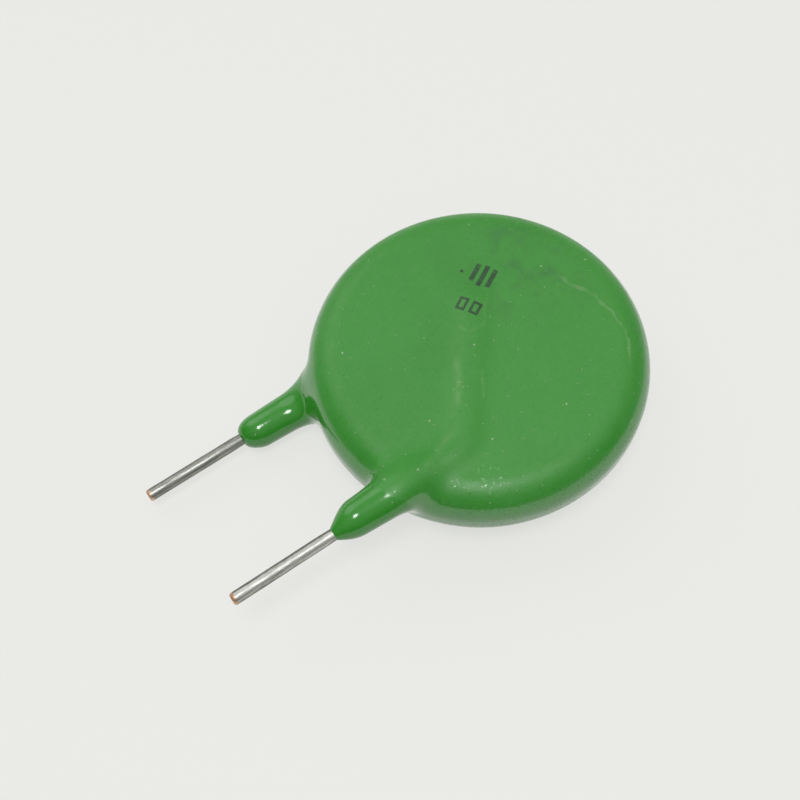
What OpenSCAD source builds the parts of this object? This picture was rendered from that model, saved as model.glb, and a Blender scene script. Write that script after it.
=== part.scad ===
// Disc varistor lying on its face: a zinc oxide disc with a fired silver electrode on each face,
// a tinned copper lead soldered to each electrode, and one dipped epoxy coat over it all.
// The leads point along -X. The front lead lies over the disc, the rear lead under it.

/* [Ceramic disc] */
// Diameter of the zinc oxide disc
ceramic_d = 20; // [17:0.5:24]
// Thickness of the zinc oxide disc
ceramic_t = 2.8; // [2:0.1:4.5]

/* [Electrodes] */
// Bare ceramic left round each electrode
electrode_margin = 0.8; // [0.4:0.1:1.6]
// Thickness of the fired silver
electrode_t = 0.05; // [0.03:0.01:0.15]

/* [Leads] */
// Diameter of the tinned wire
wire_d = 0.8; // [0.5:0.05:1]
// Distance between the leads, across them
pitch = 10; // [7.5:0.5:12.5]
// Bare wire beyond the end of the coat
bare_l = 6.8; // [3:0.1:30]
// Tin that the last dip lays on the bare wire
tin_t = 0.02; // [0.01:0.01:0.04]
// Length over which that tin thins out towards the coat
tin_fade = 0.6; // [0.6:0.1:1.5]
// Angle that a lead turns through over its electrode
bend_a = 52; // [40:1:65]
// Radius of the bend, to the middle of the wire
bend_r = 2; // [1:0.1:3]
// How much the wire's radius shrinks where the bend stretches it
bend_neck = 0.01; // [0.01:0.005:0.02]
// How far short of the disc's centre a bent lead crosses the middle line
cross_l = 0.6; // [0:0.1:1.5]
// Wire left beyond that crossing
inner_l = 3.4; // [2:0.1:5]
// Chamfer that the cutter leaves on the ends of the wire
cut_chamfer = 0.06; // [0.02:0.01:0.12]

/* [Solder] */
// Solder between the wire and the electrode
solder_film = 0.07; // [0.03:0.01:0.2]
// Width of the solder mound along the wire
solder_w = 2.4; // [1.6:0.1:3.2]
// Height of the solder mound above the electrode
solder_h = 0.6; // [0.4:0.05:0.8]
// Solder that runs past the cut end of the wire
solder_over = 0.6; // [0.2:0.1:1.2]

/* [Coat] */
// Epoxy over the faces of the ceramic
face_coat = 0.95; // [0.75:0.05:1.6]
// Epoxy round the edge of the ceramic
rim_coat = 0.8; // [0.6:0.05:1.4]
// Radius of the rounded rim
rim_r = 2.1; // [1.4:0.1:2.6]
// Epoxy over the wire where it lies on the disc
ridge_coat = 0.2; // [0.12:0.02:0.4]
// Radius of the soft web along each ridge on a face
web_r = 1.2; // [0.6:0.1:1.6]

/* [Necks] */
// Diameter of a neck behind its drop
neck_d = 2.35; // [1.7:0.05:2.6]
// Diameter of a neck at the rim
root_d = 2.65; // [2:0.05:3]
// How far a neck lies off the middle of its wire, towards the other lead
neck_off = 0.12; // [0:0.02:0.2]
// Length over which a neck sinks into its ridge on the face
fade_l = 3.4; // [2:0.1:5]
// Length of the front neck beyond the rim
front_neck_l = 3.2; // [2.6:0.1:6]
// Length of the rear neck beyond the rim
rear_neck_l = 4.1; // [2.6:0.1:6]
// Radius of the web where the front neck leaves the rim
front_web_r = 1.4; // [0.6:0.1:2.4]
// Radius of the web where the rear neck leaves the rim
rear_web_r = 2.2; // [0.6:0.1:2.4]
// Length of the drop that ends the front neck
front_drop_l = 1.9; // [0.8:0.1:2]
// Length of the drop that ends the rear neck
rear_drop_l = 1.4; // [0.8:0.1:2]
// Power of the front drop's outline, from 0.5 for a round end to 1 for a long tear
front_drop_p = 1; // [0.5:0.1:1]
// Power of the rear drop's outline
rear_drop_p = 0.5; // [0.5:0.1:1]
// Thin lip of epoxy left round the wire at the end of the drop
lip_t = 0.06; // [0.06:0.02:0.2]

/* [Hidden] */
$fn = 64;

// Sizes that follow, measured from the middle of the disc
coat_r = ceramic_d / 2 + rim_coat;
half_t = ceramic_t / 2 + face_coat;
edge_r = min(rim_r, half_t);
wire_r = wire_d / 2;
core_r = wire_r - tin_t;
electrode_top = ceramic_t / 2 + electrode_t;
wire_z = electrode_top + solder_film + core_r;
front_end = coat_r + front_neck_l;
rear_end = coat_r + rear_neck_l;
rim_x = sqrt(coat_r * coat_r - pitch * pitch / 4);

// The lead's middle line, measured from where its straight stretch crosses the disc's middle
bend_x = -cross_l - pitch / 2 / tan(bend_a) - bend_r * tan(bend_a / 2);
bend_end = [bend_x + bend_r * sin(bend_a), bend_r * (1 - cos(bend_a)), 0];
slant = [cos(bend_a), sin(bend_a), 0];
slant_l = pitch / 2 / sin(bend_a) - bend_r * tan(bend_a / 2) + inner_l;
// How far the bend runs into each straight stretch, still inside the wire
bend_lap = sqrt(bend_r * bend_neck);

// The origin lies on the disc's middle plane, halfway along the whole part
origin_x = (max(front_end, rear_end) + bare_l - coat_r) / 2;

// Each neck's own sizes
function end_of(rear) = rear ? rear_end : front_end;
function web_of(rear) = rear ? rear_web_r : front_web_r;
function drop_of(rear) = rear ? rear_drop_l : front_drop_l;
function power_of(rear) = rear ? rear_drop_p : front_drop_p;
// Length over which a ridge's web grows into its neck's
web_fade = 2;
// Share of rim_x beyond which a sleeve lies off its wire in full
off_from = 0.5;

// Steps in the coat's skin: rings of a face, of the rim, and of the rim above a neck's patch
face_n = 12;
rim_n = 14;
top_n = 1;
// Steps along each side of a square patch that a neck grows from, and between the patches
patch_n = 6;
far_n = 22;
gap_n = 4;
// Steps along a neck: its web, its plain stretch and its drop
web_n = 8;
neck_n = 3;
drop_n = 6;
// Power by which the rings of a face crowd towards its middle
crowding = 1.2;
// Shares of the larger web that a patch reaches past its neck: inwards, outwards and down the rim
reach_in = 0.45;
reach_out = 0.2;
reach_down = 0.3;
reach_r = max(front_web_r, rear_web_r);
// Share of its own web that the web's rings reach along a neck
reach_along = 0.6;

// The skin of the coat is where this field of distances is zero: a round-edged disc and a sleeve
// along each lead, run together over a web. The rear lead is the front one turned about X.
function half_turn(p) = [p.x, -p.y, -p.z];
function clamp(v, low, high) = min(max(v, low), high);
function ease(v) = let (t = clamp(v, 0, 1)) t * t * (3 - 2 * t);
function run_together(a, b, r) = let (h = max(r - abs(a - b), 0)) min(a, b) - h * h / (4 * r);
function disc_gap(p) =
    let (r = norm([p.x, p.y]) - coat_r + edge_r, z = abs(p.z) - half_t + edge_r)
    norm([max(r, 0), max(z, 0)]) + min(max(r, z), 0) - edge_r;
function stretch_gap(q, from, way, length) =
    norm(q - from - clamp((q - from) * way, 0, length) * way);
function bend_gap(q) =
    let (dx = q.x - bend_x, dy = bend_r - q.y, turn = atan2(dx, dy))
    turn < 0 || turn > bend_a ? 2 * coat_r : norm([norm([dx, dy]) - bend_r, q.z]);
function wire_gap(q) =
    min(stretch_gap(q, [bend_x, 0, 0], [-1, 0, 0], 4 * coat_r), bend_gap(q),
        stretch_gap(q, bend_end, slant, slant_l));

// Radius of a sleeve: lip and drop, neck widening to the rim, then fading into the ridge
function drop_r(s, power) =
    wire_r + lip_t + (neck_d / 2 - wire_r - lip_t) * pow(sin(90 * clamp(s, 0, 1)), power);
function sleeve_r(x, rear) =
    let (end = end_of(rear), drop_l = drop_of(rear))
    x > -rim_x
    ? root_d / 2 + (wire_r + ridge_coat - root_d / 2) * ease((x + rim_x) / fade_l)
    : drop_r((x + end) / drop_l, power_of(rear))
      + (root_d - neck_d) / 2 * clamp((x + end - drop_l) / (end - drop_l - rim_x), 0, 1);
function sleeve_off(x, rear) =
    neck_off * ease((x + end_of(rear)) / drop_of(rear)) * ease(-x / rim_x / off_from);
function sleeve_gap(p, rear) =
    wire_gap(p - [0, sleeve_off(p.x, rear) - pitch / 2, wire_z]) - sleeve_r(p.x, rear);
function web_at(x, rear) = web_r + (web_of(rear) - web_r) * ease(1 - (x + rim_x) / web_fade);
function skin(p) =
    let (front = run_together(disc_gap(p), sleeve_gap(p, false), web_at(p.x, false)))
    run_together(front, sleeve_gap(half_turn(p), true), web_at(p.x, true));

// A point near the skin is moved along the field's slope until it lies on it
function settle(p, steps = 4, e = 0.01) =
    steps == 0 ? p
    : let (f = skin(p),
           g = [skin(p + [e, 0, 0]) - f, skin(p + [0, e, 0]) - f, skin(p + [0, 0, e]) - f] / e)
      settle(p - f / (g * g) * g, steps - 1);

// Rings and spokes of the skin. Spokes crowd round the necks, and so do the rings of the rim.
spoke_n = 2 * (far_n + patch_n + gap_n);
ring_n = 2 * face_n + rim_n;
inner_a = 180 - asin((pitch / 2 - root_d / 2 - reach_in * reach_r) / coat_r);
outer_a = 180 - asin((pitch / 2 + root_d / 2 + reach_out * reach_r) / coat_r);
low_a = asin(clamp((wire_z - root_d / 2 - reach_down * reach_r) / half_t, -0.8, 0.8));
function spoke_a(j) =
    j > spoke_n / 2 ? 360 - spoke_a(spoke_n - j)
    : j <= far_n ? outer_a * j / far_n
    : j <= far_n + patch_n ? outer_a + (inner_a - outer_a) * (j - far_n) / patch_n
    : inner_a + (180 - inner_a) * (j - far_n - patch_n) / gap_n;
function front_rim_a(k) =
    k <= top_n + patch_n ? 90 - (90 - low_a) * k / (top_n + patch_n)
    : low_a - (90 + low_a) * (k - top_n - patch_n) / (rim_n - top_n - patch_n);
function rim_a(k, a) =
    let (front = ease(0.5 - 1.5 * sin(a))) front * front_rim_a(k) - (1 - front) * front_rim_a(rim_n - k);
function profile(i, a) =
    i <= face_n ? [(coat_r - edge_r) * pow(i / face_n, crowding), half_t]
    : i >= face_n + rim_n ? [(coat_r - edge_r) * pow((ring_n - i) / face_n, crowding), -half_t]
    : let (r = rim_a(i - face_n, a)) [coat_r - edge_r + edge_r * cos(r), half_t * sin(r)];
function skin_point(i, j) =
    let (a = spoke_a(j), p = profile(i, a)) settle([p[0] * cos(a), p[0] * sin(a), p[1]]);

// A neck grows out of a square patch of the skin, through a web, as rings down to its lip
loop_n = 4 * patch_n;
function patch_cell(m) =
    let (side = floor(m / patch_n), k = m % patch_n)
    side == 0 ? [0, k] : side == 1 ? [k, patch_n] : side == 2 ? [patch_n, patch_n - k] : [patch_n - k, 0];
function front_cell(m) = patch_cell(m) + [face_n + top_n, spoke_n - far_n - patch_n];
function edge_point(rear, m) =
    let (c = front_cell(m)) rear ? skin_point(ring_n - c[0], spoke_n - c[1]) : skin_point(c[0], c[1]);
function neck_point(x, rear, m) =
    let (r = sleeve_r(x, rear), a = 135 - 360 * m / loop_n,
         p = [x, sleeve_off(x, rear) - pitch / 2 - r * cos(a), wire_z + r * sin(a)])
    rear ? half_turn(p) : p;
function web_x(rear) = -coat_r - min(reach_along * web_of(rear), (end_of(rear) - coat_r - drop_of(rear)) / 2);
function neck_x(k, rear) =
    let (drop_x = drop_of(rear) - end_of(rear))
    k <= neck_n ? web_x(rear) + (drop_x - web_x(rear)) * k / neck_n
    : drop_x - drop_of(rear) * sin(90 * (k - neck_n) / drop_n);
function neck_rings(rear) =
    [for (k = [1 : web_n - 1], m = [0 : loop_n - 1])
         let (t = k / web_n) settle((1 - t) * edge_point(rear, m) + t * neck_point(web_x(rear), rear, m)),
     for (k = [0 : neck_n + drop_n], m = [0 : loop_n - 1])
         let (p = neck_point(neck_x(k, rear), rear, m)) k < neck_n ? settle(p) : p];

grid_size = 2 + (ring_n - 1) * spoke_n;
neck_size = (web_n + neck_n + drop_n) * loop_n;
function grid_id(i, j) = i == 0 ? 0 : i == ring_n ? grid_size - 1 : 1 + (i - 1) * spoke_n + j % spoke_n;
function in_patch(i, j) =
    i >= face_n + top_n && i < face_n + top_n + patch_n
    && j >= spoke_n - far_n - patch_n && j < spoke_n - far_n;
function quad(a, b, c, d) =
    [for (t = [[a, b, c], [a, c, d]]) if (t[0] != t[1] && t[1] != t[2] && t[2] != t[0]) t];
// Ring k of a neck, where ring 0 is the edge of its patch
function loop_id(k, m, rear) =
    let (w = m % loop_n, c = front_cell(w))
    k > 0 ? grid_size + (rear ? neck_size : 0) + (k - 1) * loop_n + w
    : rear ? grid_id(ring_n - c[0], spoke_n - c[1]) : grid_id(c[0], c[1]);

skin_points = concat(
    [settle([0, 0, half_t])],
    [for (i = [1 : ring_n - 1], j = [0 : spoke_n - 1]) skin_point(i, j)],
    [settle([0, 0, -half_t])],
    neck_rings(false),
    neck_rings(true));
skin_faces = concat(
    [for (i = [0 : ring_n - 1], j = [0 : spoke_n - 1])
         if (!in_patch(i, j) && !in_patch(ring_n - 1 - i, spoke_n - 1 - j))
             each quad(grid_id(i, j), grid_id(i, j + 1), grid_id(i + 1, j + 1), grid_id(i + 1, j))],
    [for (rear = [false, true], k = [0 : web_n + neck_n + drop_n - 1], m = [0 : loop_n - 1])
         each quad(loop_id(k, m, rear), loop_id(k, m + 1, rear), loop_id(k + 1, m + 1, rear),
                   loop_id(k + 1, m, rear))],
    [for (rear = [false, true])
         [for (m = [0 : loop_n - 1]) loop_id(web_n + neck_n + drop_n, m, rear)]]);

// Everything is drawn from the middle of the disc and moved to the origin
module placed() translate([origin_x, 0, 0]) children();
module rear_side() rotate([180, 0, 0]) children();

module coating() color([0.31, 0.57, 0.29]) placed() difference() {
    polyhedron(skin_points, skin_faces);
    disc();
    electrode();
    rear_side() electrode();
    lead(front_end);
    rear_side() lead(rear_end);
    solder_mound();
    rear_side() solder_mound();
}

module disc() translate([0, 0, -ceramic_t / 2]) cylinder(h = ceramic_t, d = ceramic_d);
module electrode() translate([0, 0, ceramic_t / 2])
    cylinder(h = electrode_t, d = ceramic_d - 2 * electrode_margin);

// The front lead, with its coated stretch ending at end
module lead(end) translate([0, -pitch / 2, wire_z]) {
    translate([bend_x, 0, 0]) rotate([0, -90, 0]) dipped_wire(end + bend_x);
    translate([bend_x, bend_r, 0]) bend();
    along_slant() rotate([0, 90, 0]) wire(core_r, slant_l);
}

// Moves to the end of the bend, with X along the slanted stretch
module along_slant() translate([bend_x, bend_r, 0]) rotate([0, 0, bend_a])
    translate([0, -bend_r, 0]) children();

// The bend runs a little way into both stretches, far enough that the three fuse into one wire
module bend() {
    lap_a = atan(bend_lap / bend_r);
    rotate([0, 0, -90 - lap_a]) rotate_extrude(angle = bend_a + 2 * lap_a)
        translate([bend_r, 0]) circle(core_r - bend_neck);
}

// A straight stretch of wire along Z that ends in a cut
module wire(r, length) rotate_extrude() polygon(
    [[0, 0], [r, 0], [r, length - cut_chamfer], [r - cut_chamfer, length], [0, length]]);
// The same with a bare end, where tin_t of tin starts thin at the coat, coated_l from the other end
module dipped_wire(coated_l) {
    whole_l = coated_l + bare_l;
    rotate_extrude() polygon(
        [[0, 0], [core_r, 0], [core_r, coated_l], [wire_r, coated_l + tin_fade],
         [wire_r, whole_l - cut_chamfer], [wire_r - cut_chamfer, whole_l], [0, whole_l]]);
}

// Solder wets the electrode in a long mound along the slanted stretch, round and over the wire's end
module solder_mound() {
    mound_r = (solder_w * solder_w / 4 + solder_h * solder_h) / (2 * solder_h);
    mound_l = slant_l + solder_over - solder_w;
    intersection() {
        translate([0, -pitch / 2, electrode_top + solder_h - mound_r])
            along_slant() translate([solder_w / 2, 0, 0]) {
                rotate([0, 90, 0]) cylinder(h = mound_l, r = mound_r);
                sphere(mound_r);
                translate([mound_l, 0, 0]) sphere(mound_r);
            }
        translate([-coat_r, -coat_r, electrode_top]) cube([2 * coat_r, 2 * coat_r, solder_h]);
    }
}
module solder(end) difference() {
    solder_mound();
    lead(end);
}

module ceramic_disc() color([0.2, 0.2, 0.22]) placed() disc();
module front_electrode() color([0.86, 0.85, 0.82]) placed() electrode();
module rear_electrode() color([0.86, 0.85, 0.82]) placed() rear_side() electrode();
module front_solder() color([0.62, 0.63, 0.65]) placed() solder(front_end);
module rear_solder() color([0.62, 0.63, 0.65]) placed() rear_side() solder(rear_end);
module front_lead() color([0.76, 0.76, 0.74]) placed() lead(front_end);
module rear_lead() color([0.76, 0.76, 0.74]) placed() rear_side() lead(rear_end);

coating();
ceramic_disc();
front_electrode();
rear_electrode();
front_solder();
rear_solder();
front_lead();
rear_lead();
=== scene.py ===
import math
from collections import namedtuple
from functools import partial, reduce

import bmesh
import bpy
import numpy as np
from mathutils import Matrix, Vector, noise


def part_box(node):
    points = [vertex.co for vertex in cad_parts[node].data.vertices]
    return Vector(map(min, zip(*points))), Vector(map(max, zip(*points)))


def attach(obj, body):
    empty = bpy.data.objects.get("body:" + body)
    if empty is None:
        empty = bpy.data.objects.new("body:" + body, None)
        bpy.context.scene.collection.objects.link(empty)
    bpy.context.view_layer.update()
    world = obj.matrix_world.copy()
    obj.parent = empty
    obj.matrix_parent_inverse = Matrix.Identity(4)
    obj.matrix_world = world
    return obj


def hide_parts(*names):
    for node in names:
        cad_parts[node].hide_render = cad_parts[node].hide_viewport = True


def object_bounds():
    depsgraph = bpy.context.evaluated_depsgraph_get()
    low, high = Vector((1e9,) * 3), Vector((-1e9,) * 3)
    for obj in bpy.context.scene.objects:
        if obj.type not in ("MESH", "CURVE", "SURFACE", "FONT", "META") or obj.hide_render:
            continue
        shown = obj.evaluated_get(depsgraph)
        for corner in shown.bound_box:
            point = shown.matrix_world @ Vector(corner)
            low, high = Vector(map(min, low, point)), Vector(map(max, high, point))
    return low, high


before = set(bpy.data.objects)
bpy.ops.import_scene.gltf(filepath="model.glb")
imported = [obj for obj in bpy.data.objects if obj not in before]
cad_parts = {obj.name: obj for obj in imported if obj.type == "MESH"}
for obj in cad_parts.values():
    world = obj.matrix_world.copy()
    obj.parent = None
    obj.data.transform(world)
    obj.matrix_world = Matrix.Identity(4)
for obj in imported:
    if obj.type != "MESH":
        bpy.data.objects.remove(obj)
cad_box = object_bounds()

# Looks for the coated disc varistor. The coat and the leads are made again here, finer than the
# CAD solids and to the same sizes. Lengths are in millimetres until a mesh is finished, and are
# measured from the middle of the disc.

MM = 0.001
DISC_MIDDLE = np.array([5.45, 0, 0])

# Sizes of the coat and the leads, as in the CAD source
COAT_R = 10.8
HALF_T = 2.35
EDGE_R = 2.1
WEB_R = 1.2
WIRE_R = 0.4
CORE_R = 0.38
WIRE_Z = 1.9
PITCH = 10.0
BARE_L = 6.8
TIN_FADE = 0.6
CUT_CHAMFER = 0.06
BEND_A = math.radians(52)
BEND_R = 2.0
CROSS_L = 0.6
INNER_L = 3.4
NECK_R = 1.175
ROOT_R = 1.325
NECK_OFF = 0.12
FADE_L = 3.4
RIDGE_R = 0.6
WEB_FADE = 2.0
OFF_FROM = 0.5

# Where a neck ends, the length and the power of its drop's outline, and the radius of its web
Neck = namedtuple("Neck", "end drop_l power web_r")
FRONT = Neck(14.0, 1.9, 1.0, 1.4)
REAR = Neck(14.9, 1.4, 0.5, 2.2)

RIM_X = math.sqrt(COAT_R**2 - PITCH**2 / 4)
BEND_X = -CROSS_L - PITCH / 2 / math.tan(BEND_A) - BEND_R * math.tan(BEND_A / 2)
BEND_END = np.array([BEND_X + BEND_R * math.sin(BEND_A), BEND_R * (1 - math.cos(BEND_A)), 0])
SLANT = np.array([math.cos(BEND_A), math.sin(BEND_A), 0])
SLANT_L = PITCH / 2 / math.sin(BEND_A) - BEND_R * math.tan(BEND_A / 2) + INNER_L
LEAD_START = np.array([0, -PITCH / 2, WIRE_Z])
# The rear lead is the front one turned over about X
NO_TURN = np.array([1, 1, 1])
HALF_TURN = np.array([1, -1, -1])

# Camera, from a fit to the photograph's outline. The sensor is in millimetres, and so are the
# distance and the shifts; what it sees lies between two distances in metres.
CAMERA_AZIMUTH = math.radians(-119.724)
CAMERA_ELEVATION = math.radians(64.696)
CAMERA_ROLL = math.radians(-4.81)
CAMERA_DISTANCE = 75.0
CAMERA_ASIDE = -4.942
CAMERA_ABOVE = -2.337
FOCAL_PIXELS = 1181.05
IMAGE_PIXELS = 800
SENSOR = 36.0
NEAREST = 0.005
FARTHEST = 10.0


def direction(azimuth, elevation):
    """The way towards a place given by its angles."""
    level = math.cos(elevation)
    return Vector((level * math.cos(azimuth), level * math.sin(azimuth), math.sin(elevation)))


def add_to_scene(thing):
    bpy.context.scene.collection.objects.link(thing)
    return thing


def make_camera():
    ahead = -direction(CAMERA_AZIMUTH, CAMERA_ELEVATION)
    right = ahead.cross(Vector((0, 0, 1))).normalized()
    up = right.cross(ahead)
    turn = Matrix.Rotation(CAMERA_ROLL, 3, -ahead)
    right, up = turn @ right, turn @ up
    place = Vector(DISC_MIDDLE) - ahead * CAMERA_DISTANCE + right * CAMERA_ASIDE + up * CAMERA_ABOVE
    data = bpy.data.cameras.new("camera")
    data.sensor_width = SENSOR
    data.lens = FOCAL_PIXELS * SENSOR / IMAGE_PIXELS
    data.clip_start, data.clip_end = NEAREST, FARTHEST
    camera = add_to_scene(bpy.data.objects.new("camera", data))
    camera.matrix_world = Matrix((
        (right.x, up.x, -ahead.x, place.x * MM),
        (right.y, up.y, -ahead.y, place.y * MM),
        (right.z, up.z, -ahead.z, place.z * MM),
        (0, 0, 0, 1)))
    bpy.context.scene.camera = camera


def show(name, mesh, slot, *replaced):
    """A finished mesh becomes a piece of the part and stands for CAD nodes."""
    mesh.name = name
    piece = add_to_scene(bpy.data.objects.new(name, mesh))
    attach(piece, "root")
    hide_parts(*replaced)
    return piece


# Shape of the coat: the zero level of a field of distances, a round-edged disc and a sleeve along
# each lead, run together over webs. Points stand in rows: p from the disc's middle, q from the
# start of the front lead's middle line.

# A length past everything in the part
FAR = 4 * COAT_R


def ease(v):
    t = np.clip(v, 0, 1)
    return t * t * (3 - 2 * t)


def run_together(a, b, r):
    """The nearer of two distances, with a web of that radius where they are alike."""
    near = np.maximum(r - np.abs(a - b), 0)
    return np.minimum(a, b) - near**2 / (4 * r)


def disc_gap(p):
    r = np.hypot(p[:, 0], p[:, 1]) - COAT_R + EDGE_R
    z = np.abs(p[:, 2]) - HALF_T + EDGE_R
    return np.hypot(np.maximum(r, 0), np.maximum(z, 0)) + np.minimum(np.maximum(r, z), 0) - EDGE_R


def stretch_gap(q, start, way, length):
    """Distance from a straight stretch."""
    along = np.clip((q - start) @ way, 0, length)
    return np.linalg.norm(q - start - along[:, None] * way, axis=1)


def bend_gap(q):
    dx, dy = q[:, 0] - BEND_X, BEND_R - q[:, 1]
    turn = np.arctan2(dx, dy)
    gap = np.hypot(np.hypot(dx, dy) - BEND_R, q[:, 2])
    return np.where((turn < 0) | (turn > BEND_A), FAR, gap)


def wire_gap(q):
    """Distance from a lead's middle line: a straight run, the bend and the slanted run."""
    straight = stretch_gap(q, np.array([BEND_X, 0, 0]), np.array([-1.0, 0, 0]), FAR)
    return np.minimum(np.minimum(straight, bend_gap(q)), stretch_gap(q, BEND_END, SLANT, SLANT_L))


# The end of the drop closes just inside the wire, so that no gap shows round it
CLOSE_R = WIRE_R - 0.03
CLOSE_SLOPE = 3.0


def drop_r(s, neck):
    """The radius along a drop, with s from 0 at its end to 1 where it meets the neck."""
    rounded = CLOSE_R + (NECK_R - CLOSE_R) * np.sin(math.pi / 2 * np.clip(s, 0, 1)) ** neck.power
    return rounded + CLOSE_SLOPE * neck.drop_l * np.minimum(s, 0)


def sleeve_r(x, neck):
    """The radius of the coat round a lead: the ridge on the disc, then the neck and its drop."""
    ridge = ROOT_R + (RIDGE_R - ROOT_R) * ease((x + RIM_X) / FADE_L)
    along = np.clip((x + neck.end - neck.drop_l) / (neck.end - neck.drop_l - RIM_X), 0, 1)
    drop = drop_r((x + neck.end) / neck.drop_l, neck) + (ROOT_R - NECK_R) * along
    return np.where(x > -RIM_X, ridge, drop)


def sleeve_gap(p, neck):
    """Distance from that sleeve, which lies a little off the wire's middle line along the neck."""
    x = p[:, 0]
    off = NECK_OFF * ease((x + neck.end) / neck.drop_l) * ease(-x / RIM_X / OFF_FROM)
    return wire_gap(p - LEAD_START - off[:, None] * np.array([0, 1, 0])) - sleeve_r(x, neck)


def web_at(x, neck):
    """The web's radius, which grows towards the neck."""
    return WEB_R + (neck.web_r - WEB_R) * ease(1 - (x + RIM_X) / WEB_FADE)


def skin(p):
    front = run_together(disc_gap(p), sleeve_gap(p, FRONT), web_at(p[:, 0], FRONT))
    return run_together(front, sleeve_gap(p * HALF_TURN, REAR), web_at(p[:, 0], REAR))


# Step over which the field's slope is taken, and the least squared slope that a move divides by
SLOPE_STEP = 0.01
LEAST_SQUARE = 0.1


def slope(p):
    """The field at points, with its slope along X, Y and Z."""
    f = skin(p)
    ahead = [skin(p + SLOPE_STEP * axis) - f for axis in np.eye(3)]
    return f, np.stack(ahead, axis=1) / SLOPE_STEP


def way_out(p):
    """The skin's normals at points."""
    _, g = slope(p)
    return g / np.linalg.norm(g, axis=1)[:, None]


def settle(p, times):
    """Moves points along the field's slope until they lie on the skin."""
    for _ in range(times):
        f, g = slope(p)
        p = p - (f / np.maximum((g * g).sum(axis=1), LEAST_SQUARE))[:, None] * g
    return p


# How often the coat's points are settled, then spread, and settled again after each spread, and
# the share of the way to its neighbours' middle that a point is moved
SETTLE_TIMES = 8
SPREAD_TIMES = 14
RESETTLE_TIMES = 2
SPREAD_SHARE = 0.5


def spread(p, edges):
    """Spreads points evenly over the skin."""
    count = np.zeros(len(p))
    np.add.at(count, edges.ravel(), 1)
    for _ in range(SPREAD_TIMES):
        total = np.zeros_like(p)
        np.add.at(total, edges[:, 0], p[edges[:, 1]])
        np.add.at(total, edges[:, 1], p[edges[:, 0]])
        move = total / count[:, None] - p
        normal = way_out(p)
        move -= (move * normal).sum(axis=1)[:, None] * normal
        p = settle(p + SPREAD_SHARE * move, RESETTLE_TIMES)
    return p


# The start of the coat's mesh: the edge of its even squares, the sides of the puck and the pegs,
# and how much smaller the puck is than the disc
VOXEL = 0.17
PUCK_SIDES = 128
PEG_SIDES = 48
PUCK_INSET = 0.1


def add_cylinder(bm, sides, radius, depth, place=Matrix()):
    bmesh.ops.create_cone(bm, cap_ends=True, segments=sides, radius1=radius, radius2=radius,
                          depth=depth, matrix=place)


def rough_coat():
    """A closed mesh of even squares near the skin: a puck and two pegs, remeshed as one."""
    bm = bmesh.new()
    add_cylinder(bm, PUCK_SIDES, COAT_R - PUCK_INSET, 2 * HALF_T - PUCK_INSET)
    for side, neck in ((1, FRONT), (-1, REAR)):
        length = neck.end - RIM_X + FADE_L
        place = Matrix.Translation((FADE_L - RIM_X - length / 2, -side * PITCH / 2, side * WIRE_Z))
        add_cylinder(bm, PEG_SIDES, NECK_R, length, place @ Matrix.Rotation(math.pi / 2, 4, "Y"))
    mesh = bpy.data.meshes.new("coat_start")
    bm.to_mesh(mesh)
    bm.free()
    start = add_to_scene(bpy.data.objects.new("coat_start", mesh))
    remesh = start.modifiers.new("even", "REMESH")
    remesh.mode = "VOXEL"
    remesh.voxel_size = VOXEL
    even = bpy.data.meshes.new_from_object(start.evaluated_get(bpy.context.evaluated_depsgraph_get()))
    bpy.data.objects.remove(start)
    return even


# Slow waists on the upper side of the necks: where each starts, is deepest and ends, its depth,
# half its width and the width over which its sides fade
FRONT_WAIST = (-12.9, -10.3, -7.6)
FRONT_WAIST_DEPTH = 0.13
REAR_WAIST = (-13.3, -9.9, -8.2)
REAR_WAIST_DEPTH = 0.24
WAIST_HALF = 1.9
WAIST_SIDE = 0.9


def waist(p, normal):
    """How far the waists sink each point."""
    x, y, z = p.T
    total = 0
    for neck, (start, deepest, end), depth in ((y < 0, FRONT_WAIST, FRONT_WAIST_DEPTH),
                                               ((y > 0) & (z < 0), REAR_WAIST, REAR_WAIST_DEPTH)):
        along = ease((x - start) / (deepest - start)) * ease((x - end) / (deepest - end))
        total = total + depth * neck * along
    beside = ease((WAIST_HALF - np.abs(np.abs(y) - PITCH / 2)) / WAIST_SIDE)
    return total * beside * np.clip(normal[:, 2], 0, 1) ** 2


# Slow unevenness that the dip leaves in the coat, with the size and the seed of its noise
SAG_DEPTH = 0.022
SAG_NOISE = (4.5, 11)
RIPPLE_DEPTH = 0.006
RIPPLE_NOISE = (1.3, 23)


def swell(point, size, seed):
    """Smooth noise from about 0 to 1, with features of that size."""
    return 0.5 + 0.5 * noise.noise(Vector(point) / size + Vector((seed, 0, 0)))


def unevenness(p, normal):
    """How far each point of the skin sinks, always inwards so that the coat stays in its box."""
    def field(size, seed):
        return np.array([1 - swell(q, size, seed) for q in p])
    return SAG_DEPTH * field(*SAG_NOISE) + RIPPLE_DEPTH * field(*RIPPLE_NOISE) + waist(p, normal)


# The coat's ridges over the leads flatten towards the leads' inner ends
RIDGE_PRESS = 0.4
PRESS_FROM = -6.0
PRESS_OVER = 5.0


def press(p):
    """Lowers what stands proud of a face by a share that grows along the lead."""
    proud = np.maximum(np.abs(p[:, 2]) - HALF_T, 0)
    share = RIDGE_PRESS * ease((p[:, 0] - PRESS_FROM) / PRESS_OVER)
    return p - (np.sign(p[:, 2]) * proud * share)[:, None] * np.array([0, 0, 1])


# How far inside the CAD coat's box the finished mesh is held
BOX_MARGIN = 0.001


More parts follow.
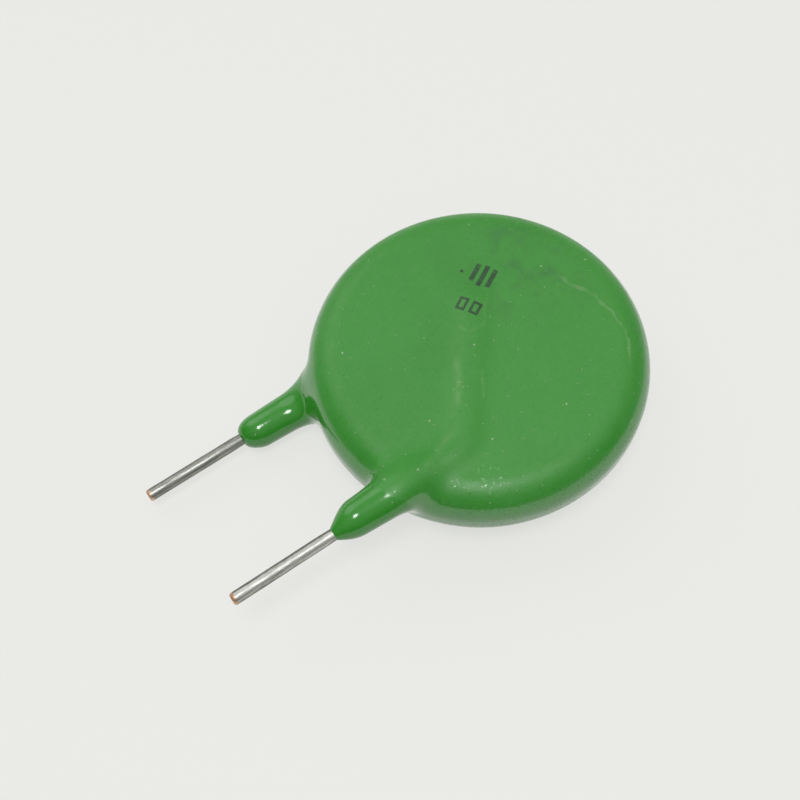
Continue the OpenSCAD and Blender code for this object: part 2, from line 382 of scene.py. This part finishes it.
def make_coat():
    mesh = rough_coat()
    p = np.empty(len(mesh.vertices) * 3)
    mesh.vertices.foreach_get("co", p)
    edges = np.empty(len(mesh.edges) * 2, int)
    mesh.edges.foreach_get("vertices", edges)
    p = spread(settle(p.reshape(-1, 3), SETTLE_TIMES), edges.reshape(-1, 2))
    normal = way_out(p)
    p = press(p - unevenness(p, normal)[:, None] * normal)
    low, high = (np.array(corner) / MM - DISC_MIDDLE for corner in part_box("coating"))
    p = np.clip(p, low + BOX_MARGIN, high - BOX_MARGIN)
    mesh.vertices.foreach_set("co", ((p + DISC_MIDDLE) * MM).ravel())
    mesh.polygons.foreach_set("use_smooth", [True] * len(mesh.polygons))
    mesh.update()
    return show("epoxy_coat", mesh, "coat", "coating")


# Leads: one run of rings from the cut end outside to the cut end inside

LEAD_SIDES = 48
FINE_STEP = 0.12
COARSE_STEP = 0.4
BEND_RINGS = 14
SLANT_RINGS = 19
# How far before the bend the straight run's last ring may stand
BEND_CLEAR = 0.1
WAVE_DEPTH = 0.016
WAVE_SIZE = 0.9
# The shears leave the cut end rounder than the CAD chamfer, and bare of tin over a few rings. One
# ring stands halfway along the round, where it has taken a share of its depth off the radius.
CUT_ROUND = 0.12
CUT_HALFWAY = 0.3
COPPER_RINGS = 3


def lead_line(neck):
    """Points along a lead's middle line, with the wire's radius at each."""
    tip = -neck.end - BARE_L
    fade = -neck.end - TIN_FADE
    bare = np.arange(tip + CUT_ROUND, fade, FINE_STEP)
    hidden = np.arange(-neck.end + COARSE_STEP, BEND_X - BEND_CLEAR, COARSE_STEP)
    x = np.concatenate([[tip, tip + CUT_ROUND / 2], bare, [fade, -neck.end], hidden])
    straight = np.stack([x, 0 * x, 0 * x], axis=1)
    turn = np.linspace(0, BEND_A, BEND_RINGS)
    bend = np.stack([BEND_X + BEND_R * np.sin(turn), BEND_R * (1 - np.cos(turn)), 0 * turn], axis=1)
    along = np.linspace(0, SLANT_L, SLANT_RINGS + 1)[1:]
    points = np.concatenate([straight, bend, BEND_END + along[:, None] * SLANT])
    radius = np.where(points[:, 0] <= fade, WIRE_R, CORE_R)
    radius[0] = WIRE_R - CUT_ROUND
    radius[1] = WIRE_R - CUT_ROUND * CUT_HALFWAY
    radius[-1] = CORE_R - CUT_CHAMFER
    return points, radius


def lead_rings(neck, seed):
    """Rings of points round a lead's middle line, which wave a little inwards."""
    points, radius = lead_line(neck)
    ways = np.gradient(points, axis=0)
    ways /= np.linalg.norm(ways, axis=1)[:, None]
    across = np.stack([-ways[:, 1], ways[:, 0], 0 * ways[:, 0]], axis=1)
    angles = np.linspace(0, 2 * math.pi, LEAD_SIDES, endpoint=False)
    for point, r, aside in zip(points, radius, across):
        outs = [math.cos(angle) * aside + np.array([0, 0, math.sin(angle)]) for angle in angles]
        yield [point + (r - WAVE_DEPTH * swell(point + r * out, WAVE_SIZE, seed)) * out for out in outs]


# A wire's piece, the CAD node that it stands for, its neck, how it is turned from the front
# lead's place, the seed of its waves, and the two tones of its top
Lead = namedtuple("Lead", "name node neck turn seed tops")


def make_lead(lead):
    bm = bmesh.new()
    rings = []
    for spots in lead_rings(lead.neck, lead.seed):
        places = [(spot + LEAD_START) * lead.turn + DISC_MIDDLE for spot in spots]
        rings.append([bm.verts.new(Vector(place * MM)) for place in places])
    for k, (one, other) in enumerate(zip(rings, rings[1:])):
        for j in range(LEAD_SIDES):
            face = bm.faces.new((one[j - 1], one[j], other[j], other[j - 1]))
            face.smooth = True
            face.material_index = 1 if k < COPPER_RINGS else 0
    for ring in (rings[0], rings[-1]):
        cap = bm.faces.new(ring)
        cap.material_index = 1
    bmesh.ops.recalc_face_normals(bm, faces=bm.faces)
    mesh = bpy.data.meshes.new(lead.name)
    bm.to_mesh(mesh)
    bm.free()
    return show(lead.name, mesh, "lead", lead.node)


# Materials

def srgb(r, g, b):
    """A colour given as a screen shows it, from 0 to 255, in the linear values that shaders take."""
    def linear(v):
        v /= 255
        return v / 12.92 if v <= 0.04045 else ((v + 0.055) / 1.055) ** 2.4
    return (linear(r), linear(g), linear(b), 1)


class Nodes:
    """A tree of shader nodes, with short ways to add and link them."""

    def __init__(self, tree):
        self.tree = tree

    def add(self, kind, **values):
        node = self.tree.nodes.new(kind)
        for key, value in values.items():
            setattr(node, key, value)
        return node

    def link(self, source, target):
        self.tree.links.new(source, target)

    def math(self, operation, first, second=0.0):
        node = self.add("ShaderNodeMath", operation=operation)
        for socket, value in zip(node.inputs, (first, second)):
            if isinstance(value, (int, float)):
                socket.default_value = value
            else:
                self.link(value, socket)
        return node.outputs["Value"]

    def product(self, *values):
        return reduce(partial(self.math, "MULTIPLY"), values)

    def most(self, *values):
        return reduce(partial(self.math, "MAXIMUM"), values)

    def length(self, x, y):
        return self.math("SQRT", self.math("ADD", self.product(x, x), self.product(y, y)))

    def ramp(self, source, low, high, start=0.0, end=1.0):
        """Source between low and high becomes start to end, held there outside them."""
        node = self.add("ShaderNodeMapRange", interpolation_type="SMOOTHSTEP")
        for key, value in (("From Min", low), ("From Max", high), ("To Min", start), ("To Max", end)):
            node.inputs[key].default_value = value
        self.link(source, node.inputs["Value"])
        return node.outputs["Result"]

    def split(self, vector):
        """The X, Y and Z of a vector."""
        parts = self.add("ShaderNodeSeparateXYZ")
        self.link(vector, parts.inputs["Vector"])
        return tuple(parts.outputs)


# Where a surface counts as looking up: the limits of its normal's Z
TOP_LIMITS = (0.5, 0.8)


class Material(Nodes):
    """The nodes of a new material, with the patterns that the materials here are made of."""

    def __init__(self, name):
        self.material = bpy.data.materials.new(name)
        self.material.use_nodes = True
        super().__init__(self.material.node_tree)
        self.shader = self.tree.nodes["Principled BSDF"]
        self.place = self.add("ShaderNodeTexCoord").outputs["Object"]

    def set(self, **values):
        """Plain values of the shader's inputs. An underscore stands for a space."""
        for key, value in values.items():
            self.shader.inputs[key.replace("_", " ")].default_value = value

    def mix(self, share, first, second):
        """A colour between two: each is a colour or an output."""
        node = self.add("ShaderNodeMix", data_type="RGBA")
        self.link(share, node.inputs["Factor"])
        for key, value in (("A", first), ("B", second)):
            socket = next(s for s in node.inputs if s.name == key and s.type == "RGBA")
            if isinstance(value, tuple):
                socket.default_value = value
            else:
                self.link(value, socket)
        return next(s for s in node.outputs if s.type == "RGBA")

    def bump(self, height, depth_mm, below=None):
        """Bump whose height source, from 0 to 1, stands for that depth."""
        node = self.add("ShaderNodeBump")
        node.inputs["Strength"].default_value = 1
        node.inputs["Distance"].default_value = depth_mm * MM
        self.link(height, node.inputs["Height"])
        if below is not None:
            self.link(below, node.inputs["Normal"])
        return node.outputs["Normal"]

    def stretched(self, scale):
        mapping = self.add("ShaderNodeMapping")
        mapping.inputs["Scale"].default_value = scale
        self.link(self.place, mapping.inputs["Vector"])
        return mapping.outputs["Vector"]

    def noise(self, size_mm, detail=3, rough=0.55, stretch=(1, 1, 1)):
        """Noise from about 0 to 1 with features of that size."""
        node = self.add("ShaderNodeTexNoise")
        node.inputs["Scale"].default_value = 1
        node.inputs["Detail"].default_value = detail
        node.inputs["Roughness"].default_value = rough
        scale = tuple(1 / (size_mm * MM) * s for s in stretch)
        self.link(self.stretched(scale), node.inputs["Vector"])
        return node.outputs["Fac"]

    def patches(self, grain, limits):
        """A noise sent through a ramp."""
        return self.ramp(self.noise(*grain), *limits)

    def specks(self, cell_mm, radius_mm, share, seed):
        """1 in small round specks seen from above, one in each of a share of the cells."""
        node = self.add("ShaderNodeTexVoronoi", voronoi_dimensions="2D")
        node.inputs["Scale"].default_value = 1
        shift = self.add("ShaderNodeVectorMath", operation="ADD")
        self.link(self.stretched((1 / (cell_mm * MM),) * 3), shift.inputs[0])
        shift.inputs[1].default_value = (seed, seed, seed)
        self.link(shift.outputs["Vector"], node.inputs["Vector"])
        chosen = self.add("ShaderNodeSeparateColor")
        self.link(node.outputs["Color"], chosen.inputs["Color"])
        near = self.ramp(node.outputs["Distance"], radius_mm / cell_mm, radius_mm / cell_mm / 2)
        return self.product(near, self.math("LESS_THAN", chosen.outputs["Red"], share))

    def local(self, middle=(0, 0), turn=0):
        """Two coordinates in millimetres round a point of the disc, turned about Z by that angle."""
        mapping = self.add("ShaderNodeMapping", vector_type="TEXTURE")
        mapping.inputs["Location"].default_value = tuple((np.array([*middle, 0]) + DISC_MIDDLE) * MM)
        mapping.inputs["Rotation"].default_value = (0, 0, turn)
        mapping.inputs["Scale"].default_value = (MM, MM, MM)
        self.link(self.place, mapping.inputs["Vector"])
        x, y, _ = self.split(mapping.outputs["Vector"])
        return x, y

    def distance(self, middle=(0, 0)):
        """Distance in millimetres from a point of the disc, seen from above."""
        return self.length(*self.local(middle))

    def bar(self, local, middle, half, edge):
        """1 inside a bar of those half sizes, 0 outside it, soft over the edge's width."""
        insides = []
        for value, place, reach in zip(local, middle, half):
            away = self.math("ABSOLUTE", self.math("SUBTRACT", value, place))
            insides.append(self.ramp(away, reach + edge, reach - edge))
        return self.product(*insides)

    def normal(self):
        """The X, Y and Z of the way that the surface looks."""
        return self.split(self.add("ShaderNodeTexCoord").outputs["Normal"])

    def on_top(self):
        """1 where the surface looks up, 0 where it looks sideways or down."""
        _, _, up = self.normal()
        return self.ramp(up, *TOP_LIMITS)


# The coat's looks. A pattern is a share from 0 to 1, and top keeps it to what looks up. Patches are
# a noise's size and detail, at times with its roughness and how it is stretched, then the limits of
# its ramp, at times with the values at them. Places are seen from above, round the disc's middle.

# A dark smudge on the face
SMUDGE_MIDDLE = (5.6, 3.0)
SMUDGE_REACH = 5.2
SMUDGE_CORE = SMUDGE_REACH / 3
SMUDGE_PATCHES = ((1.6, 4, 0.6), (0.42, 0.72, 0, 0.62))
SMUDGE_GREEN = (44, 112, 50)


def smudge(n, top):
    near = n.ramp(n.distance(SMUDGE_MIDDLE), SMUDGE_REACH, SMUDGE_CORE)
    return n.product(n.patches(*SMUDGE_PATCHES), near, top)


# A faint drying line on the face: the middle and radius of its arc, how far it wanders and how far
# it runs each way, the length over which its ends fade, and how far from its middle line it is
# gone and full
LINE_MIDDLE = (1.4, -2.6)
LINE_R = 6.75
LINE_WANDER = ((1.5, 2), (0, 1, -0.3, 0.3))
LINE_REACH = 4.2
LINE_FADE = 1
LINE_HALF = (0.17, 0.03)


def drying_line(n, top):
    x, y = n.local(LINE_MIDDLE)
    away = n.math("ADD", n.length(x, y), n.patches(*LINE_WANDER))
    off = n.math("ABSOLUTE", n.math("SUBTRACT", away, LINE_R))
    ends = n.ramp(n.math("ABSOLUTE", y), LINE_REACH, LINE_REACH - LINE_FADE)
    return n.product(n.ramp(off, *LINE_HALF), ends, n.math("GREATER_THAN", x, 0), top)


# Faint pale lines over the lead under the coat, along its ridge and round its inner end. The first
# two are a painted highlight on the ridge's left flank; the others are pale lines along its right
# side and round its end. Each is the middle, the turn in degrees, half the length and the width,
# the softness of the edge and how strong the line is. The drying line is as pale as its share.
RIDGE_LINES_AND_HIGHLIGHTS = (((-2.5, -1.3), 57, (1.6, 0.08), 0.4, 0.42),
              ((-6.2, -4.4), 20, (1.6, 0.05), 0.4, 0.35),
              ((1.6, 1.6), 52, (0.8, 0.04), 0.12, 0.3),
              ((-1.37, -2.33), 58, (0.9, 0.04), 0.12, 0.35),
              ((-0.1, 1.45), -71, (0.35, 0.04), 0.12, 0.3),
              ((0.6, 1.02), 4, (0.45, 0.04), 0.12, 0.35))
LINE_SHARE = 0.27
LINE_AND_HIGHLIGHT_PATCHES = ((0.6, 3), (0.35, 0.6, 0.2, 1))
LINE_AND_HIGHLIGHT_GREEN = (140, 180, 120)


# The drying line, with the painted highlight and the pale lines along the ridge laid over it
def drying_line_and_painted_highlights(n, top, line):
    line_and_highlights = n.product(line, LINE_SHARE)
    for middle, turn, half, edge, share in RIDGE_LINES_AND_HIGHLIGHTS:
        ridge_line = n.bar(n.local(middle, math.radians(turn)), (0, 0), half, edge)
        line_and_highlights = n.most(line_and_highlights, n.product(ridge_line, share, top))
    return n.product(line_and_highlights, n.patches(*LINE_AND_HIGHLIGHT_PATCHES))


# Pale specks, partly dust and partly painted glints, and dark specks: the size of the cells, the
# radius, the share of the cells that hold one, and a seed
DUST_AND_GLINT_SPECKS = ((0.8, 0.055, 0.22, 3), (2.4, 0.1, 0.3, 9))
DUST_AND_GLINT_PATCHES = ((3.2, 2), (0.35, 0.6, 0.15, 1))
DUST_AND_GLINT_SHARE = 0.45
DUST_AND_GLINT_GREEN = (190, 216, 172)
DARK_SPECKS = (1.7, 0.08, 0.3, 17)
DARK_SHARE = 0.4
DARK_GREEN = (44, 100, 48)


# Pale specks that are partly dust and partly painted glints
def dust_and_painted_glints(n, top):
    specks = n.most(*(n.specks(*sizes) for sizes in DUST_AND_GLINT_SPECKS))
    return n.product(specks, top, n.patches(*DUST_AND_GLINT_PATCHES))


# A cluster of glints where the face turns into the rim, and one on the ridge: middle and reach
GLINT_PLACES = (((-4.6, -7.5), 1.3), ((-2.7, -1.6), 0.45))
GLINT_GRAINS = ((0.3, 3, 0.6), (0.56, 0.68))
GLINT_SHARE = 0.3
GLINT_GREEN = (196, 232, 190)


def glints(n, top):
    places = [n.ramp(n.distance(middle), reach, reach / 2) for middle, reach in GLINT_PLACES]
    return n.product(n.patches(*GLINT_GRAINS), n.most(*places), top, GLINT_SHARE)


# Plain shapes stand where the part's print is: a dot and three bars, then two small square
# outlines. A bar is a middle and half sizes. Both rows are turned, each round its own middle.
PRINT_TURN = math.radians(-61)
PRINT_EDGE = 0.03
BARS_MIDDLE = (3.0, 4.1)
BARS = (((-1.15, -0.2), (0.1, 0.1)), ((-0.35, 0.1), (0.16, 0.66)),
        ((0.22, 0.05), (0.16, 0.82)), ((0.79, 0.1), (0.16, 0.7)))
SQUARES_MIDDLE = (1.1, 2.6)
SQUARES = (-0.45, 0.45)
SQUARE_HALF = (0.32, 0.46)
SQUARE_LINE = 0.18
INK_PATCHES = ((0.22, 4), (0.3, 0.55, 0.6, 0.95))
INK = (18, 62, 26)


def printed_shapes(n, top):
    bars, squares = n.local(BARS_MIDDLE, PRINT_TURN), n.local(SQUARES_MIDDLE, PRINT_TURN)
    shapes = [n.bar(bars, *bar, PRINT_EDGE) for bar in BARS]
    for place in SQUARES:
        outside = n.bar(squares, (place, 0), SQUARE_HALF, PRINT_EDGE)
        inside = n.bar(squares, (place, 0), [half - SQUARE_LINE for half in SQUARE_HALF], PRINT_EDGE)
        shapes.append(n.math("SUBTRACT", outside, inside))
    return n.product(n.most(*shapes), top, n.patches(*INK_PATCHES))


# The greens of the coat: two in wide patches, and one mottled over them
COAT_GREENS = ((45, 140, 34), (51, 145, 40))
GREEN_PATCHES = ((5.0, 2), (0.35, 0.65))
MOTTLE = ((0.35, 4), (0.3, 0.7))
MOTTLE_SHARE = 0.25
MOTTLE_GREEN = (72, 152, 60)


def coat_colour(n, top, line, dust_and_glint_specks):
    """The greens, with the marks, painted highlights and painted glints laid over them in turn."""
    colour = n.mix(n.patches(*GREEN_PATCHES), *(srgb(*green) for green in COAT_GREENS))
    for share, over in ((n.product(n.patches(*MOTTLE), MOTTLE_SHARE), MOTTLE_GREEN),
                        (smudge(n, top), SMUDGE_GREEN),
                        (drying_line_and_painted_highlights(n, top, line), LINE_AND_HIGHLIGHT_GREEN),
                        (n.product(dust_and_glint_specks, DUST_AND_GLINT_SHARE), DUST_AND_GLINT_GREEN),
                        (glints(n, top), GLINT_GREEN),
                        (n.product(n.specks(*DARK_SPECKS), top, DARK_SHARE), DARK_GREEN),
                        (printed_shapes(n, top), INK)):
        colour = n.mix(share, colour, srgb(*over))
    return colour


# Distances from the disc's middle: where the glossy rim starts and is full, where the root of a
# neck is full and ends, and where the stronger reflection of the rim's side ends
RIM_FROM = COAT_R - 1.2
RIM_FULL = COAT_R - 0.5
ROOT_FULL = COAT_R + 0.2
ROOT_END = COAT_R + 0.9
SIDE_END = COAT_R + 0.6

# Roughness of the satin face, with grains of shine, and the share of it left where the coat is
# glossy; the least there is; how strongly the coat and the rim's side reflect
SATIN_PATCHES = ((1.6, 4), (0.3, 0.7, 0.42, 0.5))
SHINY_GRAINS = ((0.17, 2), (0.6, 0.7, 1, 0.35))
GLOSSY_ROUGH = 0.3
LEAST_ROUGH = 0.1
COAT_IOR = 1.6
RIM_IOR = 1.8

# Bumps: the coat's peel, its grain and the share of the grain left where it is glossy, the pits in
# the rim's side, which start and are full along X away from the necks, and what stands on the coat
PEEL = (0.9, 3)
PEEL_DEPTH = 0.008
GRAIN = (0.13, 2)
GRAIN_DEPTH = 0.006
GLOSSY_GRAIN = 0.2
PITS = ((0.16, 3), (0.55, 0.75))
PITS_ALONG = (-8.5, -7.0)
PIT_DEPTH = 0.03
SPECK_DEPTH = 0.02


def coat_bumps(n, gloss, rim_side, standing):
    peel = n.bump(n.noise(*PEEL), PEEL_DEPTH)
    grain = n.product(n.noise(*GRAIN), n.ramp(gloss, 0, 1, 1, GLOSSY_GRAIN))
    grain = n.bump(grain, GRAIN_DEPTH, peel)
    x, _ = n.local()
    pits = n.product(n.patches(*PITS), rim_side, n.ramp(x, *PITS_ALONG))
    return n.bump(standing, SPECK_DEPTH, n.bump(pits, PIT_DEPTH, grain))


def coat_material():
    """Satin on the faces and on top of the necks' roots, glossy on the rim and the necks."""
    n = Material("green_epoxy")
    top = n.on_top()
    line, dust_and_glint_specks = drying_line(n, top), dust_and_painted_glints(n, top)
    n.link(coat_colour(n, top, line, dust_and_glint_specks), n.shader.inputs["Base Color"])

    reach = n.distance()
    rim = n.ramp(reach, RIM_FROM, RIM_FULL)
    root = n.product(n.ramp(reach, ROOT_END, ROOT_FULL), top)
    gloss = n.product(rim, n.ramp(root, 0, 1, 1, 0))
    rough = n.product(n.patches(*SATIN_PATCHES), n.ramp(gloss, 0, 1, 1, GLOSSY_ROUGH),
                      n.patches(*SHINY_GRAINS))
    n.link(n.most(rough, LEAST_ROUGH), n.shader.inputs["Roughness"])

    rim_side = n.product(rim, n.math("SUBTRACT", 1.0, top), n.ramp(reach, SIDE_END, ROOT_FULL))
    # An export keeps only plain values, so one stands under the link
    n.set(IOR=COAT_IOR)
    n.link(n.ramp(rim_side, 0, 1, COAT_IOR, RIM_IOR), n.shader.inputs["IOR"])
    n.link(coat_bumps(n, gloss, rim_side, n.most(dust_and_glint_specks, line)), n.shader.inputs["Normal"])
    return n.material


# Dark and light tones of the tin in streaks along the wire: a pair for each wire's top, and a darker
# pair for the painted shade along the flanks. The rear wire's top is duller.
FRONT_TIN = ((176, 177, 170), (212, 213, 206))
REAR_TIN = ((140, 142, 135), (176, 178, 171))
PAINTED_SHADE_TIN = ((100, 99, 91), (130, 129, 119))
TIN_STREAKS = ((0.16, 4, 0.6, (0.12, 1, 1)), (0.35, 0.7))
# The dull skin of the tin scatters a part of the light
TIN_METALLIC = 0.72
# Where a wire is bright rather than in painted shade, by its normal: the share of Y taken off Z, the
# uneven border, the limits of what is left on the top, and those of Z on the underside with the
# values at them
TIN_ASIDE = 0.45
TIN_BORDER = ((0.5, 3), (0, 1, -0.2, 0.2))
TIN_TOP = (0.45, 0.95)
TIN_UNDER = (-0.35, -0.75, 0, 0.7)
TIN_ROUGH = ((0.3, 3, 0.6, (0.3, 1, 1)), (0.3, 0.7, 0.34, 0.5))
TIN_GRAIN = (0.15, 3, 0.6, (0.25, 1, 1))
TIN_GRAIN_DEPTH = 0.012


def tin_material(name, tops):
    """Painted light and shade: bright along its top and underside, painted shade along the flanks, more
    so on the +Y side.
    """
    n = Material(name)
    n.set(Metallic=TIN_METALLIC)
    streaks = n.patches(*TIN_STREAKS)
    bright, painted_shade = (n.mix(streaks, srgb(*dark), srgb(*light)) for dark, light in (tops, PAINTED_SHADE_TIN))
    # Painted shade: the flanks take the darker tones by their normals
    _, aside, up = n.normal()
    facing = n.math("SUBTRACT", up, n.product(aside, TIN_ASIDE))
    lit_share = n.ramp(n.math("ADD", facing, n.patches(*TIN_BORDER)), *TIN_TOP)
    lit_share = n.most(lit_share, n.ramp(up, *TIN_UNDER))
    n.link(n.mix(lit_share, painted_shade, bright), n.shader.inputs["Base Color"])
    n.link(n.patches(*TIN_ROUGH), n.shader.inputs["Roughness"])
    n.link(n.bump(n.noise(*TIN_GRAIN), TIN_GRAIN_DEPTH), n.shader.inputs["Normal"])
    return n.material


COPPERS = ((168, 128, 102), (222, 192, 164))
COPPER_PATCHES = ((0.2, 3), (0.3, 0.7))
COPPER_ROUGH = ((0.1, 3), (0.3, 0.7, 0.35, 0.55))
COPPER_GRAIN = (0.08, 3)
COPPER_GRAIN_DEPTH = 0.01


def copper_material():
    n = Material("cut_copper")
    n.set(Metallic=1.0)
    colour = n.mix(n.patches(*COPPER_PATCHES), *(srgb(*copper) for copper in COPPERS))
    n.link(colour, n.shader.inputs["Base Color"])
    n.link(n.patches(*COPPER_ROUGH), n.shader.inputs["Roughness"])
    n.link(n.bump(n.noise(*COPPER_GRAIN), COPPER_GRAIN_DEPTH), n.shader.inputs["Normal"])
    return n.material


# The pieces inside the coat have two near colours in grains of one size: the material's name, the
# dark and the light colour, the size, the metallic share, the roughness and the grain's depth
Plain = namedtuple("Plain", "name dark light size metallic rough depth")
ZINC_OXIDE = Plain("zinc_oxide", (52, 52, 56), (74, 74, 78), 0.3, 0, 0.7, 0.01)
FIRED_SILVER = Plain("fired_silver", (196, 194, 188), (228, 226, 220), 0.2, 1, 0.5, 0.004)
SOLDER = Plain("solder", (150, 152, 156), (180, 182, 186), 0.5, 1, 0.35, 0.01)
PLAIN_LIMITS = (0.3, 0.7)
PLAIN_SPREAD = 0.08


def plain_material(look):
    n = Material(look.name)
    n.set(Metallic=look.metallic)
    colour = n.mix(n.patches((look.size,), PLAIN_LIMITS), srgb(*look.dark), srgb(*look.light))
    n.link(colour, n.shader.inputs["Base Color"])
    limits = (*PLAIN_LIMITS, look.rough - PLAIN_SPREAD, look.rough + PLAIN_SPREAD)
    n.link(n.patches((look.size * 2,), limits), n.shader.inputs["Roughness"])
    n.link(n.bump(n.noise(look.size), look.depth), n.shader.inputs["Normal"])
    return n.material


def dress(piece, *materials):
    if piece.data.materials:
        piece.data.materials.clear()
    for material in materials:
        piece.data.materials.append(material)


# Stage and light

# The floor's size and how far it lies under the part, in metres
FLOOR_SIZE = 0.7
FLOOR_DROP = 0.00002
FLOOR_COLOUR = (196, 196, 194)
FLOOR_ROUGH = 0.6
# Share of the floor's look that is plain near white where it is seen directly; in a glossy
# reflection all of it is
FLOOR_PLAIN = 0.7
FLOOR_SHINE = (250, 250, 247)


def floor_material():
    n = Material("pale_floor")
    n.set(Base_Color=srgb(*FLOOR_COLOUR), Roughness=FLOOR_ROUGH)
    plain = n.add("ShaderNodeEmission")
    plain.inputs["Color"].default_value = srgb(*FLOOR_SHINE)
    ray = n.add("ShaderNodeLightPath")
    direct = n.product(ray.outputs["Is Camera Ray"], FLOOR_PLAIN)
    mix = n.add("ShaderNodeMixShader")
    n.link(n.most(direct, ray.outputs["Is Glossy Ray"]), mix.inputs["Fac"])
    n.link(n.shader.outputs["BSDF"], mix.inputs[1])
    n.link(plain.outputs["Emission"], mix.inputs[2])
    n.link(mix.outputs["Shader"], n.tree.nodes["Material Output"].inputs["Surface"])
    return n.material


def make_floor(low):
    bm = bmesh.new()
    bmesh.ops.create_grid(bm, x_segments=1, y_segments=1, size=FLOOR_SIZE)
    mesh = bpy.data.meshes.new("floor")
    bm.to_mesh(mesh)
    bm.free()
    floor = add_to_scene(bpy.data.objects.new("floor", mesh))
    floor.location.z = low - FLOOR_DROP
    dress(floor, floor_material())


# A round lamp nearly overhead. A surface that faces it at the disc's middle is lit to its level.
LAMP_WAY = (-140, 80)
LAMP_DISTANCE = 400
LAMP_SIZE = 125
LAMP_LEVEL = 0.38


def make_lamp():
    way = direction(*(math.radians(angle) for angle in LAMP_WAY))
    data = bpy.data.lights.new("lamp", "AREA")
    data.shape = "DISK"
    data.size = LAMP_SIZE * MM
    data.energy = LAMP_LEVEL * (math.pi * LAMP_DISTANCE * MM) ** 2
    lamp = add_to_scene(bpy.data.objects.new("lamp", data))
    lamp.location = (Vector(DISC_MIDDLE) + LAMP_DISTANCE * way) * MM
    lamp.rotation_mode = "QUATERNION"
    lamp.rotation_quaternion = (-way).to_track_quat("-Z", "Y")


# The room: a broad glow round the lamp, a weak one on the right, a small strong one and a weak wide
# one on the far side, and a skirt at the floor. The camera sees a plain pale backdrop instead.
# A glow is a direction in degrees, the cosines where it starts and is full, and its level
BACKDROP_LEVEL = 0.82
GLOW_BASE = 0.1
GLOWS = (((-120, 84), (0.35, 1.0), 0.42),
         ((0, 50), (0.7, 0.95), 0.28),
         ((100, 41), (0.9, 0.97), 1.05),
         ((70, 0), (0.35, 0.6), 0.3),
         ((0, -90), (-0.08, -0.02), 0.5))
WHITE = (1, 1, 1, 1)


def make_room():
    world = bpy.data.worlds.new("world")
    world.use_nodes = True
    n = Nodes(world.node_tree)
    way = n.add("ShaderNodeTexCoord").outputs["Generated"]
    total = GLOW_BASE
    for angles, (start, full), level in GLOWS:
        dot = n.add("ShaderNodeVectorMath", operation="DOT_PRODUCT")
        dot.inputs[1].default_value = direction(*(math.radians(angle) for angle in angles))
        n.link(way, dot.inputs[0])
        total = n.math("ADD", n.ramp(dot.outputs["Value"], start, full, 0, level), total)
    seen = n.add("ShaderNodeMix")
    n.link(n.add("ShaderNodeLightPath").outputs["Is Camera Ray"], seen.inputs["Factor"])
    n.link(total, seen.inputs["A"])
    seen.inputs["B"].default_value = BACKDROP_LEVEL
    background = n.tree.nodes["Background"]
    background.inputs["Color"].default_value = WHITE
    n.link(seen.outputs["Result"], background.inputs["Strength"])
    bpy.context.scene.world = world


make_camera()
dress(make_coat(), coat_material())
copper = copper_material()
for lead in (Lead("front_wire", "front_lead", FRONT, NO_TURN, 3, FRONT_TIN),
             Lead("rear_wire", "rear_lead", REAR, HALF_TURN, 7, REAR_TIN)):
    dress(make_lead(lead), tin_material("tin_" + lead.name, lead.tops), copper)
for look, nodes in ((ZINC_OXIDE, ["ceramic_disc"]),
                    (FIRED_SILVER, ["front_electrode", "rear_electrode"]),
                    (SOLDER, ["front_solder", "rear_solder"])):
    material = plain_material(look)
    for node in nodes:
        dress(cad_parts[node], material)

make_floor(cad_box[0].z)
make_room()
make_lamp()
bpy.context.scene.view_settings.view_transform = "Standard"
